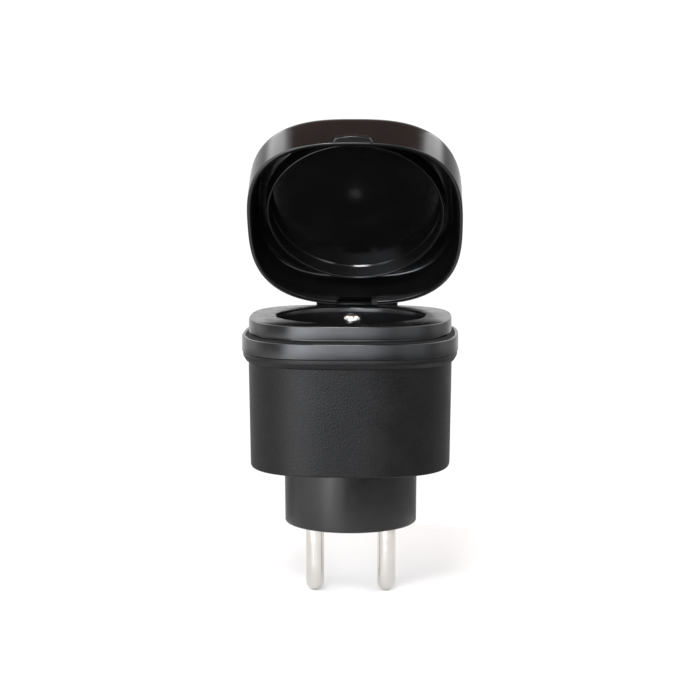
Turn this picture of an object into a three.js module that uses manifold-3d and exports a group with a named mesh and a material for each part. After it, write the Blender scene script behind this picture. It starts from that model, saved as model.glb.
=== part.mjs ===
// Outdoor smart plug for a type E mains socket: a squarish housing with a round plug neck and two round
// pins below, and above it a socket well with an earth pin under a lid on a friction hinge.
// Millimetres. +Z points from the plug's contact face to the lid, -Y is the front, +Y the hinge side.
// The origin is the centre of the contact face. The lid is drawn closed and swung open by its group.

import * as THREE from 'three';
import { mergeVertices } from 'three/addons/utils/BufferGeometryUtils.js';
import Module from 'manifold-3d';

const wasm = await Module();
wasm.setup();

// ---- driving dimensions ----

const GAP = 0.3;                 // air between neighbouring pieces
const WALL = 2.0;                // moulded wall thickness
const SQUARENESS = 2.95;         // superellipse exponent of the housing and the cover
const LID_SQUARENESS = 2.78;     // superellipse exponent of the lid
const AROUND = 64;               // sides of the large outlines
const FINE = 20;                 // sides of pins, screws and other small round pieces

const PIN_RADIUS = 2.4;          // Ø4.8 mains pins of CEE 7
const PIN_X = 9.5;               // pins and holes stand 19 apart
const PIN_LENGTH = 19;
const EARTH_Y = 10;              // earth pin and earth hole lie 10 behind the line of the pins
const HOLE_RADIUS = 2.95;        // live holes of the socket

const NECK_RADIUS = 17.34;
const NECK_HEIGHT = 16.2;        // contact face to the housing's shoulder
const NECK_INSIDE = 14.8;
const FACE_THICK = 4.5;

const BODY_LOW = 26.1;           // half width of the housing at its shoulder
const BODY_HIGH = 26.5;          // and under its flange
const BODY_TOP = 43.9;
const FLANGE_HALF = 27.9;        // lower half of the collar, part of the housing
const FLANGE_TOP = 46.3;
const COLLAR_HALF = 28.17;       // upper half of the collar, part of the cover
const COLLAR_BASE = 46.75;
const COLLAR_TOP = 50.4;
const RIM_HALF = 26.4;           // raised rim that the lid closes around
const RIM_TOP = 54.7;

const WELL_RADIUS = 19.4;        // CEE 7/5 recess
const SLEEVE_OUT = WELL_RADIUS + 1.5;
const WELL_FLOOR = 39.7;
const INSERT_THICK = 3;
const INSERT_BASE = WELL_FLOOR - INSERT_THICK;
const EARTH_TIP = 54.5;

const LID_HALF = 28.72;          // at the mouth
const LID_SHIFT = 0.75;          // side play on the hinge pin, taken up towards +X
const LID_WALL = 1.2;
const LID_MOUTH = COLLAR_TOP + GAP;
const LID_DEPTH = 12.4;
const LID_INSIDE = 9.7;          // mouth to ceiling
const RING_RADIUS = 23.56;       // sealing ring under the lid's ceiling
const RING_THICK = 1.1;
const RING_SET_BACK = 5.24;      // mouth to the ring's free edge
const RING_FOOT = 0.9;           // depth of the ring's foot in its groove
const TAB_HALF = 5.3;            // finger tab on the front of the lid's mouth
const TAB_REACH = 1.8;
const TAB_THICK = 1.5;
const NOTCH_DEPTH = 2;           // relief over the knuckle in the lid's rear wall
const LID_ANGLE = THREE.MathUtils.degToRad(52.3);   // how far the lid stands open

const HINGE_Y = 32.37;
const HINGE_Z = 52.5;
const KNUCKLE_RADIUS = 2.9;
const HOOD_BASE = HINGE_Z + KNUCKLE_RADIUS + 0.4;
const HOOD_TOP = HOOD_BASE + 1.8;
const KNUCKLE_HALF = 4.7;        // half width of the middle knuckle
const ARM_START = 5.75;          // inner faces of the lid's two hinge arms
const HINGE_HALF = 11.2;         // half width over all three knuckles
const HINGE_PIN_RADIUS = 1.1;

const SEAL_OUT = 27.2;           // rubber ring at the foot of the rim
const SEAL_BASE = 49.7;
const SEAL_TOP = COLLAR_TOP + 0.2;
const GASKET_IN = 25.0;          // rubber ring between the cover and the housing
const GASKET_OUT = 26.0;
const GASKET_BASE = 45.5;
const SPIGOT_HALF = 24.15;       // skirt that centres the cover in the housing
const SPIGOT_BASE = 42;

const FLOOR_TOP = NECK_HEIGHT + 2.2;
const SCREW_RADIUS = 1.4;
const SCREW_TIP = 31;
const HEAD_RADIUS = 2.6;
const HEAD_TOP = NECK_HEIGHT + 1.9;
const HEAD_THICK = 1.5;
const POST = 16.7;               // screw posts stand at (±POST, ±POST)
const POST_RADIUS = 3;
const BOARD_Z = 20.5;
const BOARD_THICK = 1.6;
const PARTS_Z = BOARD_Z + BOARD_THICK + GAP;     // seat of everything on the board

const REAR_FACE = 26.05;         // housing wall behind the button and the window
const BUTTON_Z = 30;
const BUTTON_RADIUS = 4.2;
const BUTTON_INSIDE = 22.9;      // inner face of the button's flange
const SWITCH_FACE = 21.5;        // tip of the switch's plunger
const SWITCH_FRONT = 18.2;
const SWITCH_REAR = 20.8;
const WINDOW_X = 9;
const WINDOW_HALF = 1.2;

const SPINDLE_RADIUS = 1.5;      // also the shank of the earth pin and the tails of the mains pins
const PIN_TAIL_TOP = 9;
const EARTH_TUBE_IN = 2.5;
const EARTH_TUBE_OUT = 3.1;
const EARTH_TUBE_TOP = 16;
const STRAP_TOP = 23.4;
const STRIP = 0.8;               // brass strip thickness
const STRIP_HALF = 1.5;          // half width of the feed bars
const BAR_REACH = 8.2;           // how far a feed bar runs forward
const PLATE_BASE = 31.9;
const PLATE_TOP = 33.6;
const SHUTTER_HALF = 3.4;
const SHUTTER_TOP = INSERT_BASE - 0.7;
const SPRING_IN = 2.1;
const SPRING_OUT = 2.9;
const BOARD_HALF = 22.8;
const TALL_PART_TOP = 31.5;      // top of the relay, the fuse and the capacitor

// ---- materials ----

function finish(color, roughness, metalness = 0) {
  return new THREE.MeshStandardMaterial({ color, roughness, metalness });
}

const material = {
  housing: finish(0x262627, 0.62),
  satin: finish(0x1c1c1d, 0.42),
  lid: finish(0x171616, 0.28),
  rubber: finish(0x101011, 0.85),
  nickel: finish(0xc9c4bc, 0.25, 1),
  steel: finish(0x9a9a9c, 0.35, 1),
  brass: finish(0xb8933f, 0.35, 1),
  board: finish(0x1d5a36, 0.5),
  insulator: finish(0x2b2b2d, 0.55),
  relay: finish(0x23458f, 0.45),
  ceramic: finish(0xd9d4c6, 0.5),
  varistor: finish(0x2c63a8, 0.4),
  capacitor: finish(0x26262c, 0.4),
  ferrite: finish(0x3c3a3a, 0.7),
  shield: finish(0xb9bcc0, 0.3, 1),
  white: finish(0xe6e4de, 0.55),
  shutter: finish(0x303133, 0.5),
  window: finish(0xdfe8ee, 0.15),
};

// ---- solids ----

// Unit radius of a superellipse |x|^n + |y|^n = 1 in the direction of an angle.
function superRadius(angle, n) {
  return (Math.abs(Math.cos(angle)) ** n + Math.abs(Math.sin(angle)) ** n) ** (-1 / n);
}

// Turns a profile of [radius, z, exponent] points about +Z, the solid on the left of its path. Exponent
// 2, the default, is a circle. A profile starts and ends on the axis or closes on itself.
function turned(profile, sides = AROUND) {
  const rings = [];
  const positions = [];
  for (const [radius, z, exponent = 2] of profile) {
    const count = radius === 0 ? 1 : sides;
    rings.push({ first: positions.length / 3, count });
    for (let i = 0; i < count; i += 1) {
      const angle = (i / sides) * 2 * Math.PI;
      const reach = radius * superRadius(angle, exponent);
      positions.push(reach * Math.cos(angle), reach * Math.sin(angle), z);
    }
  }
  const onAxis = profile[0][0] === 0;
  const spans = onAxis ? rings.length - 1 : rings.length;
  const index = [];
  for (let k = 0; k < spans; k += 1) {
    const low = rings[k];
    const high = rings[(k + 1) % rings.length];
    for (let i = 0; i < sides; i += 1) {
      const a = low.first + (i % low.count);
      const b = low.first + ((i + 1) % low.count);
      const c = high.first + ((i + 1) % high.count);
      const d = high.first + (i % high.count);
      if (a !== b) index.push(a, b, c);
      if (c !== d) index.push(a, c, d);
    }
  }
  const geometry = new THREE.BufferGeometry();
  geometry.setAttribute('position', new THREE.Float32BufferAttribute(positions, 3));
  geometry.setIndex(index);
  return solid(geometry);
}

// A manifold-3d solid of a closed geometry, moved by an optional matrix.
function solid(geometry, matrix = new THREE.Matrix4()) {
  const bare = geometry.clone().applyMatrix4(matrix);
  bare.deleteAttribute('normal');
  bare.deleteAttribute('uv');
  const merged = mergeVertices(bare, 1e-4);
  return new wasm.Manifold(new wasm.Mesh({
    numProp: 3,
    vertProperties: new Float32Array(merged.attributes.position.array),
    triVerts: new Uint32Array(merged.index.array),
  }));
}

function join(...solids) {
  return solids.reduce((sum, next) => sum.add(next));
}

function cut(base, ...tools) {
  return tools.reduce((rest, tool) => rest.subtract(tool), base);
}

// Round bar along +Z.
function rod(radius, z0, z1, x = 0, y = 0, sides = FINE) {
  const geometry = new THREE.CylinderGeometry(radius, radius, z1 - z0, sides);
  const matrix = new THREE.Matrix4().makeRotationX(Math.PI / 2);
  return solid(geometry, matrix.setPosition(x, y, (z0 + z1) / 2));
}

// Round bar along +Y.
function crossRod(radius, y0, y1, x, z, sides = FINE) {
  const geometry = new THREE.CylinderGeometry(radius, radius, y1 - y0, sides);
  return solid(geometry, new THREE.Matrix4().setPosition(x, (y0 + y1) / 2, z));
}

// Round bar along +X.
function sideRod(radius, x0, x1, y, z, sides = FINE) {
  const geometry = new THREE.CylinderGeometry(radius, radius, x1 - x0, sides);
  const matrix = new THREE.Matrix4().makeRotationZ(Math.PI / 2);
  return solid(geometry, matrix.setPosition((x0 + x1) / 2, y, z));
}

function block(x0, x1, y0, y1, z0, z1) {
  const geometry = new THREE.BoxGeometry(x1 - x0, y1 - y0, z1 - z0);
  return solid(geometry, new THREE.Matrix4().setPosition((x0 + x1) / 2, (y0 + y1) / 2, (z0 + z1) / 2));
}

// Block with its four upright edges rounded.
function softBlock(x0, x1, y0, y1, z0, z1, radius = 0.6) {
  const shape = new THREE.Shape();
  shape.moveTo(x0 + radius, y0);
  shape.lineTo(x1 - radius, y0);
  shape.absarc(x1 - radius, y0 + radius, radius, -Math.PI / 2, 0);
  shape.absarc(x1 - radius, y1 - radius, radius, 0, Math.PI / 2);
  shape.absarc(x0 + radius, y1 - radius, radius, Math.PI / 2, Math.PI);
  shape.absarc(x0 + radius, y0 + radius, radius, Math.PI, 1.5 * Math.PI);
  return extruded(shape, z0, z1);
}

function extruded(shape, z0, z1) {
  const options = { depth: z1 - z0, bevelEnabled: false, curveSegments: 6 };
  const geometry = new THREE.ExtrudeGeometry(shape, options);
  return solid(geometry, new THREE.Matrix4().setPosition(0, 0, z0));
}

// Outline of [y, z] points, extruded along +X.
function sideways(outline, x0, x1) {
  const shape = new THREE.Shape(outline.map(([y, z]) => new THREE.Vector2(y, z)));
  const geometry = new THREE.ExtrudeGeometry(shape, { depth: x1 - x0, bevelEnabled: false });
  const matrix = new THREE.Matrix4().makeBasis(
    new THREE.Vector3(0, 1, 0),
    new THREE.Vector3(0, 0, 1),
    new THREE.Vector3(1, 0, 0),
  );
  return solid(geometry, matrix.setPosition(x0, 0, 0));
}

function atPosts(make) {
  return [[1, 1], [-1, 1], [-1, -1], [1, -1]].map(([sx, sy]) => make(sx * POST, sy * POST));
}

// ---- scene graph ----

const plug = new THREE.Group();
const lid = new THREE.Group();
lid.position.set(0, HINGE_Y, HINGE_Z);
lid.rotation.x = -LID_ANGLE;
plug.add(lid);

function add(name, body, look, parent = plug) {
  const { vertProperties, triVerts } = body.getMesh();
  const geometry = new THREE.BufferGeometry();
  geometry.setAttribute('position', new THREE.Float32BufferAttribute(vertProperties, 3));
  geometry.setIndex([...triVerts]);
  geometry.computeVertexNormals();
  const mesh = new THREE.Mesh(geometry, look);
  mesh.name = name;
  parent.add(mesh);
  return mesh;
}

// ---- lid ----

// Shallow squarish cap with a groove for its sealing ring, a finger tab on its front edge, and at the
// rear two hinge arms joined by a hood over the middle knuckle.
function lidShell() {
  const n = LID_SQUARENESS;
  const ceiling = LID_MOUTH + LID_INSIDE;
  const top = LID_MOUTH + LID_DEPTH;
  const grooveIn = RING_RADIUS - RING_THICK / 2 - GAP;
  const grooveOut = RING_RADIUS + RING_THICK / 2 + GAP;
  const grooveTop = ceiling + RING_FOOT + GAP;
  const inner = LID_HALF - LID_WALL;
  const shell = turned([
    [0, ceiling], [grooveIn, ceiling], [grooveIn, grooveTop], [grooveOut, grooveTop], [grooveOut, ceiling],
    [inner - 2.2, ceiling, n], [inner - 0.9, ceiling - 0.5, n], [inner - 0.4, ceiling - 1.8, n],
    [inner, LID_MOUTH, n], [LID_HALF, LID_MOUTH, n], [LID_HALF - 0.15, top - 3.2, n],
    [LID_HALF - 0.5, top - 1.8, n], [LID_HALF - 1.4, top - 0.8, n], [LID_HALF - 2.8, top - 0.3, n],
    [LID_HALF - 5, top - 0.1, n], [0, top],
  ]);
  const tab = softBlock(
    -TAB_HALF, TAB_HALF, -LID_HALF - TAB_REACH, -LID_HALF + 0.9, LID_MOUTH, LID_MOUTH + TAB_THICK,
  );
  return cut(join(shell, tab, hingeArm(-1), hingeArm(1), hingeHood()), hingeNotch(), hingeBore());
}

function hingeArm(side) {
  const x0 = side > 0 ? ARM_START : -HINGE_HALF;
  const x1 = side > 0 ? HINGE_HALF : -ARM_START;
  const root = LID_HALF - 1.05;
  const arm = sideways([
    [root, LID_MOUTH + 0.4], [HINGE_Y - 0.6, HINGE_Z - KNUCKLE_RADIUS + 0.1],
    [HINGE_Y + 1.6, HINGE_Z + 2.2], [HINGE_Y + KNUCKLE_RADIUS, HOOD_BASE],
    [HINGE_Y + KNUCKLE_RADIUS, HOOD_TOP - 0.8], [HINGE_Y + 2, HOOD_TOP], [root, HOOD_TOP],
  ], x0, x1);
  return join(arm, sideRod(KNUCKLE_RADIUS, x0, x1, HINGE_Y, HINGE_Z));
}

function hingeHood() {
  const root = LID_HALF - 0.8;
  return sideways([
    [root, HOOD_BASE], [HINGE_Y + KNUCKLE_RADIUS, HOOD_BASE],
    [HINGE_Y + KNUCKLE_RADIUS, HOOD_TOP - 0.8], [HINGE_Y + 2, HOOD_TOP], [root, HOOD_TOP],
  ], -ARM_START - 1, ARM_START + 1);
}

// Relief in the mouth edge of the lid's rear wall, in front of the middle knuckle.
function hingeNotch() {
  const wall = [LID_HALF - LID_WALL - 0.5, LID_HALF + 0.2];
  return block(-ARM_START, ARM_START, ...wall, LID_MOUTH - 1, LID_MOUTH + NOTCH_DEPTH);
}

function hingeBore() {
  return sideRod(HINGE_PIN_RADIUS + 0.2, -HINGE_HALF - 1, HINGE_HALF + 1, HINGE_Y, HINGE_Z);
}

// Round sealing ring, its foot in the groove of the lid's ceiling.
function lidRing() {
  const inside = RING_RADIUS - RING_THICK / 2;
  const outside = RING_RADIUS + RING_THICK / 2;
  const edge = LID_MOUTH + RING_SET_BACK;
  const foot = LID_MOUTH + LID_INSIDE + RING_FOOT;
  return turned([
    [inside, edge + 0.3], [inside + 0.3, edge], [outside - 0.3, edge], [outside, edge + 0.3],
    [outside, foot], [inside, foot],
  ]);
}

add('lid_shell', lidShell(), material.lid, lid).position.set(LID_SHIFT, -HINGE_Y, -HINGE_Z);
add('lid_ring', lidRing(), material.lid, lid).position.set(LID_SHIFT, -HINGE_Y, -HINGE_Z);

// ---- cover: collar, rim and the middle hinge knuckle in one moulding, and the sleeve of the well ----

function socketCover() {
  const n = SQUARENESS;
  const roof = RIM_TOP - WALL;
  const mouth = SLEEVE_OUT + GAP;
  const moulding = turned([
    [COLLAR_HALF - 0.3, COLLAR_BASE, n], [COLLAR_HALF, COLLAR_BASE + 0.35, n],
    [COLLAR_HALF, COLLAR_TOP - 0.5, n], [COLLAR_HALF - 0.2, COLLAR_TOP - 0.12, n],
    [COLLAR_HALF - 0.6, COLLAR_TOP, n], [SEAL_OUT + GAP / 2, COLLAR_TOP, n],
    [SEAL_OUT + GAP / 2, SEAL_BASE - GAP, n], [RIM_HALF + 0.05, SEAL_BASE - GAP, n],
    [RIM_HALF, RIM_TOP - 0.6, n], [RIM_HALF - 0.2, RIM_TOP - 0.18, n], [RIM_HALF - 0.6, RIM_TOP, n],
    [mouth, RIM_TOP], [mouth, roof], [RIM_HALF - WALL, roof, n], [SPIGOT_HALF - 1.5, COLLAR_BASE, n],
    [SPIGOT_HALF - 1.5, SPIGOT_BASE, n], [SPIGOT_HALF, SPIGOT_BASE, n], [SPIGOT_HALF, COLLAR_BASE, n],
  ]);
  const posts = atPosts((x, y) => rod(POST_RADIUS, BOARD_Z + 0.4, COLLAR_BASE + 0.5, x, y));
  const pilots = atPosts((x, y) => rod(SCREW_RADIUS + GAP, BOARD_Z, SCREW_TIP + 1, x, y));
  const room = rod(mouth, BOARD_Z, COLLAR_BASE + 1, 0, 0, AROUND);
  return cut(join(moulding, hingeKnuckle(), ...posts), room, ...pilots, hingeBore());
}

// The middle knuckle stands on a block behind the collar. Its heel stops the hood at full opening.
function hingeKnuckle() {
  const foot = sideways([
    [COLLAR_HALF - 0.8, COLLAR_BASE + 0.4], [HINGE_Y + 1.9, COLLAR_BASE + 0.4],
    [HINGE_Y + 2.25, HINGE_Z - 4.25], [HINGE_Y + 2.7, HINGE_Z - 1], [HINGE_Y - 2.1, HINGE_Z + 1.9],
    [COLLAR_HALF + 1, COLLAR_TOP], [COLLAR_HALF - 0.8, COLLAR_TOP - 0.2],
  ], -KNUCKLE_HALF, KNUCKLE_HALF);
  return join(foot, sideRod(KNUCKLE_RADIUS, -KNUCKLE_HALF, KNUCKLE_HALF, HINGE_Y, HINGE_Z));
}

// Round sleeve of the well, held under the cover's roof by its flange. The insert rests on its lip.
function wellSleeve() {
  const lip = WELL_RADIUS - 1.5;
  const lipTop = WELL_FLOOR - INSERT_THICK - GAP;
  const flangeTop = RIM_TOP - WALL - GAP;
  return turned([
    [lip, lipTop - 1.5], [SLEEVE_OUT, lipTop - 1.5], [SLEEVE_OUT, flangeTop - 1],
    [SLEEVE_OUT + 2, flangeTop - 1], [SLEEVE_OUT + 2, flangeTop], [SLEEVE_OUT, flangeTop],
    [SLEEVE_OUT, RIM_TOP], [WELL_RADIUS + 0.5, RIM_TOP], [WELL_RADIUS + 0.1, RIM_TOP - 0.4],
    [WELL_RADIUS, lipTop], [lip, lipTop],
  ]);
}

add('socket_cover', socketCover(), material.satin);
add('well_sleeve', wellSleeve(), material.satin);

const hingePinHalf = HINGE_HALF - 0.2;
add('hinge_pin', sideRod(HINGE_PIN_RADIUS, -hingePinHalf, hingePinHalf, HINGE_Y, HINGE_Z), material.steel);

function squareRing(inside, outside, z0, z1) {
  const n = SQUARENESS;
  return turned([[inside, z0, n], [outside, z0, n], [outside, z1, n], [inside, z1, n]]);
}

add('lid_seal', squareRing(RIM_HALF + 0.2, SEAL_OUT, SEAL_BASE, SEAL_TOP), material.rubber);

// ---- housing ----

function housing() {
  const n = SQUARENESS;
  const inHigh = BODY_HIGH - WALL;
  const inLow = BODY_LOW - WALL;
  const neckHole = NECK_RADIUS + 0.15 + GAP;
  const shell = turned([
    [neckHole, NECK_HEIGHT], [BODY_LOW - 1, NECK_HEIGHT, n], [BODY_LOW - 0.3, NECK_HEIGHT + 0.3, n],
    [BODY_LOW, NECK_HEIGHT + 1, n], [BODY_HIGH, BODY_TOP, n], [FLANGE_HALF - 0.5, BODY_TOP + 0.3, n],
    [FLANGE_HALF - 0.1, BODY_TOP + 0.8, n], [FLANGE_HALF, BODY_TOP + 1.5, n],
    [FLANGE_HALF, FLANGE_TOP - 0.35, n], [FLANGE_HALF - 0.3, FLANGE_TOP, n],
    [GASKET_OUT + 0.2, FLANGE_TOP, n], [GASKET_OUT + 0.2, GASKET_BASE - GAP, n],
    [GASKET_IN - 0.2, GASKET_BASE - GAP, n], [GASKET_IN - 0.2, FLANGE_TOP, n], [inHigh, FLANGE_TOP, n],
    [inHigh, BODY_TOP, n], [inLow, FLOOR_TOP + 1, n], [inLow - 1, FLOOR_TOP, n], [neckHole, FLOOR_TOP],
  ]);
  const bosses = atPosts((x, y) => rod(POST_RADIUS + 0.2, NECK_HEIGHT + 1, BOARD_Z + 0.1, x, y));
  const heads = atPosts((x, y) => rod(HEAD_RADIUS + GAP, NECK_HEIGHT - 1, HEAD_TOP + 0.2, x, y));
  const shanks = atPosts((x, y) => rod(SCREW_RADIUS + GAP, NECK_HEIGHT, BOARD_Z + 1, x, y));
  const button = crossRod(BUTTON_RADIUS + GAP, inLow - 3, BODY_HIGH + 1, 0, BUTTON_Z);
  const opening = WINDOW_HALF + GAP;
  const window = block(
    WINDOW_X - opening, WINDOW_X + opening, inLow - 3, BODY_HIGH + 1,
    BUTTON_Z - opening, BUTTON_Z + opening,
  );
  return cut(join(shell, ...bosses), ...heads, ...shanks, button, window);
}

add('housing', housing(), material.housing);
add('cover_gasket', squareRing(GASKET_IN, GASKET_OUT, GASKET_BASE, COLLAR_BASE - GAP), material.rubber);

// Pan-head screw with a cross recess, driven up from the shoulder.
function screw(x, y) {
  const headBase = HEAD_TOP - HEAD_THICK;
  const recess = [
    block(x - 1.5, x + 1.5, y - 0.3, y + 0.3, headBase - 1, headBase + 0.8),
    block(x - 0.3, x + 0.3, y - 1.5, y + 1.5, headBase - 1, headBase + 0.8),
  ];
  const head = rod(HEAD_RADIUS, headBase, HEAD_TOP, x, y);
  return cut(join(head, rod(SCREW_RADIUS, headBase + 0.5, SCREW_TIP, x, y, 12)), ...recess);
}

atPosts(screw).forEach((body, i) => add(`case_screw_${i + 1}`, body, material.steel));

// ---- plug neck, its pins and the earth path ----

function plugNeck() {
  const r = NECK_RADIUS;
  const flangeBase = FLOOR_TOP + GAP;
  const shell = turned([
    [0, 0], [r - 0.8, 0], [r - 0.25, 0.25], [r, 0.8], [r + 0.15, NECK_HEIGHT], [r + 0.15, flangeBase],
    [r + 2, flangeBase], [r + 2, BOARD_Z - GAP], [NECK_INSIDE, BOARD_Z - GAP], [NECK_INSIDE, FACE_THICK],
    [0, FACE_THICK],
  ]);
  const holes = [-PIN_X, PIN_X].map((x) => rod(PIN_RADIUS + GAP, -1, FACE_THICK + 1, x));
  return cut(shell, ...holes, rod(EARTH_TUBE_OUT + GAP, -1, FACE_THICK + 1, 0, EARTH_Y));
}

// Mains pin with a domed tip, a collar behind the contact face and a solder tail.
function mainsPin() {
  const r = PIN_RADIUS;
  const collar = FACE_THICK + GAP;
  return turned([
    [0, -PIN_LENGTH], [0.45 * r, -PIN_LENGTH + 0.2], [0.78 * r, -PIN_LENGTH + 0.75],
    [0.95 * r, -PIN_LENGTH + 1.5], [r, -PIN_LENGTH + 2.4], [r, collar], [r + 1, collar],
    [r + 1, collar + 1.2], [SPINDLE_RADIUS, collar + 1.2], [SPINDLE_RADIUS, PIN_TAIL_TOP],
    [0, PIN_TAIL_TOP],
  ], FINE);
}

add('plug_neck', plugNeck(), material.satin);
for (const [name, x] of [['pin_left', -PIN_X], ['pin_right', PIN_X]]) {
  add(name, mainsPin(), material.nickel).position.x = x;
}

// Bent strip from a pin's tail to the underside of the board.
function feedBar(x) {
  const low = PIN_TAIL_TOP + GAP;
  const rise = -BAR_REACH + STRIP;
  return sideways([
    [STRIP_HALF, low], [STRIP_HALF, low + STRIP], [rise, low + STRIP], [rise, BOARD_Z - GAP],
    [-BAR_REACH, BOARD_Z - GAP], [-BAR_REACH, low],
  ], x - STRIP_HALF, x + STRIP_HALF);
}

add('feed_bar_left', feedBar(-PIN_X), material.brass);
add('feed_bar_right', feedBar(PIN_X), material.brass);

// Female earth contact behind the hole in the contact face.
function earthTube() {
  const foot = 0.4;
  return turned([
    [EARTH_TUBE_IN + 0.3, foot], [EARTH_TUBE_OUT, foot], [EARTH_TUBE_OUT, EARTH_TUBE_TOP],
    [EARTH_TUBE_IN, EARTH_TUBE_TOP], [EARTH_TUBE_IN, foot + 0.6],
  ], FINE);
}

add('earth_tube', earthTube(), material.brass).position.y = EARTH_Y;

// C-shaped strip that joins the female contact to the foot of the socket's earth pin.
function earthStrap() {
  const front = EARTH_Y - 2.5;
  const rear = EARTH_Y + 4;
  const low = EARTH_TUBE_TOP + GAP;
  return sideways([
    [front, low], [rear, low], [rear, STRAP_TOP], [front, STRAP_TOP], [front, STRAP_TOP - STRIP],
    [rear - STRIP, STRAP_TOP - STRIP], [rear - STRIP, low + STRIP], [front, low + STRIP],
  ], -2.5, 2.5);
}

add('earth_strap', earthStrap(), material.brass);

add('earth_pin', turned([
  [0, STRAP_TOP + GAP], [SPINDLE_RADIUS, STRAP_TOP + GAP], [SPINDLE_RADIUS, INSERT_BASE - 2],
  [PIN_RADIUS + 1, INSERT_BASE - 2], [PIN_RADIUS + 1, INSERT_BASE - GAP],
  [PIN_RADIUS, INSERT_BASE - GAP], [PIN_RADIUS, EARTH_TIP - 2.2],
  [0.93 * PIN_RADIUS, EARTH_TIP - 1.2], [0.74 * PIN_RADIUS, EARTH_TIP - 0.5],
  [0.42 * PIN_RADIUS, EARTH_TIP - 0.12], [0, EARTH_TIP],
], FINE), material.nickel).position.y = EARTH_Y;

// ---- socket insert, safety shutter and contacts ----

function liveHoles(z0, z1, radius = HOLE_RADIUS) {
  return [-PIN_X, PIN_X].map((x) => rod(radius, z0, z1, x));
}

function socketInsert() {
  const r = WELL_RADIUS - GAP;
  const disc = turned([[0, INSERT_BASE], [r, INSERT_BASE], [r, WELL_FLOOR], [0, WELL_FLOOR]]);
  const earth = rod(PIN_RADIUS + GAP, INSERT_BASE - 1, WELL_FLOOR + 1, 0, EARTH_Y);
  return cut(disc, earth, ...liveHoles(INSERT_BASE - 1, WELL_FLOOR + 1));
}

add('socket_insert', socketInsert(), material.satin);

// Plate that carries the shutter on its middle spindle.
function shutterPlate() {
  const r = WELL_RADIUS - 1.5 - GAP;
  const disc = turned([
    [0, PLATE_BASE], [r, PLATE_BASE], [r, PLATE_TOP], [SPINDLE_RADIUS, PLATE_TOP],
    [SPINDLE_RADIUS, INSERT_BASE - GAP], [0, INSERT_BASE - GAP],
  ]);
  const earth = rod(SPINDLE_RADIUS + GAP, PLATE_BASE - 1, PLATE_TOP + 1, 0, EARTH_Y);
  return cut(disc, earth, ...liveHoles(PLATE_BASE - 1, PLATE_TOP + 1));
}

add('shutter_plate', shutterPlate(), material.insulator);

// Two-armed shutter that turns on the spindle and covers both live holes at rest.
function safetyShutter() {
  const base = PLATE_TOP + GAP;
  const reach = PIN_X + SHUTTER_HALF;
  const bar = softBlock(-reach, reach, -SHUTTER_HALF, SHUTTER_HALF, base, SHUTTER_TOP, 2.2);
  const springSeat = rod(SPRING_OUT + GAP, base + 0.6, SHUTTER_TOP + 1);
  return cut(bar, rod(SPINDLE_RADIUS + GAP, base - 1, SHUTTER_TOP + 1), springSeat);
}

add('safety_shutter', safetyShutter(), material.shutter);
add('shutter_spring', turned([
  [SPRING_IN, PLATE_TOP + 1.2], [SPRING_OUT, PLATE_TOP + 1.2], [SPRING_OUT, SHUTTER_TOP],
  [SPRING_IN, SHUTTER_TOP],
], FINE), material.steel);

// Split brass sleeve that grips a mains pin.
function sleeveContact() {
  const inside = PIN_RADIUS + 0.35;
  const sleeve = turned([
    [inside, PARTS_Z], [inside + STRIP, PARTS_Z], [inside + STRIP, PLATE_BASE - GAP],
    [inside, PLATE_BASE - GAP],
  ], FINE);
  return cut(sleeve, block(-0.6, 0.6, -inside - 2, 0, PARTS_Z + 1.5, PLATE_BASE));
}

for (const [name, x] of [['contact_left', -PIN_X], ['contact_right', PIN_X]]) {
  add(name, sleeveContact(), material.brass).position.x = x;
}

// ---- electronics ----

function mainBoard() {
  const top = BOARD_Z + BOARD_THICK;
  const n = SQUARENESS;
  const board = turned([[0, BOARD_Z], [BOARD_HALF, BOARD_Z, n], [BOARD_HALF, top, n], [0, top]]);
  const posts = atPosts((x, y) => rod(POST_RADIUS + 0.7, BOARD_Z - 1, top + 1, x, y));
  const strap = block(-3, 3, EARTH_Y + 2.7, EARTH_Y + 4.5, BOARD_Z - 1, top + 1);
  return cut(board, strap, ...posts, ...liveHoles(BOARD_Z - 1, top + 1, PIN_RADIUS + 0.5));
}

add('main_board', mainBoard(), material.board);
add('power_relay', softBlock(-9.5, 9.5, -19.5, -9, PARTS_Z, TALL_PART_TOP), material.relay);
add('input_fuse', rod(2.3, PARTS_Z, TALL_PART_TOP, -8.5, 17.6), material.ceramic);
add('filter_capacitor', rod(4, PARTS_Z, TALL_PART_TOP, -18.2, 5.5), material.capacitor);
add('surge_varistor', sideRod(4.6, -20.2, -16.4, -5.4, PARTS_Z + 4.7), material.varistor);
add('supply_inductor', turned([
  [0, PARTS_Z], [3.6, PARTS_Z], [3.6, PARTS_Z + 1], [2.8, PARTS_Z + 1.3], [2.8, PARTS_Z + 5.7],
  [3.6, PARTS_Z + 6], [3.6, PARTS_Z + 7], [0, PARTS_Z + 7],
], FINE), material.ferrite).position.set(13.2, 9, 0);
add('wifi_module', block(20, 21, -8, 8, PARTS_Z, 34), material.board);
add('wifi_shield', softBlock(17.7, 19.7, -6, 6, PARTS_Z + 2, 33.4, 0.4), material.shield);

// Side-acting push switch in line with the button.
function tactSwitch() {
  const body = softBlock(-3, 3, SWITCH_FRONT, SWITCH_REAR, PARTS_Z, BUTTON_Z + 3);
  return join(body, crossRod(1.6, SWITCH_REAR - 0.3, SWITCH_FACE, 0, BUTTON_Z));
}

add('push_switch', tactSwitch(), material.insulator);

const led = softBlock(WINDOW_X - 1, WINDOW_X + 1, 19.4, 21, PARTS_Z, PARTS_Z + 0.9, 0.2);
add('status_led', led, material.white);

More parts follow.
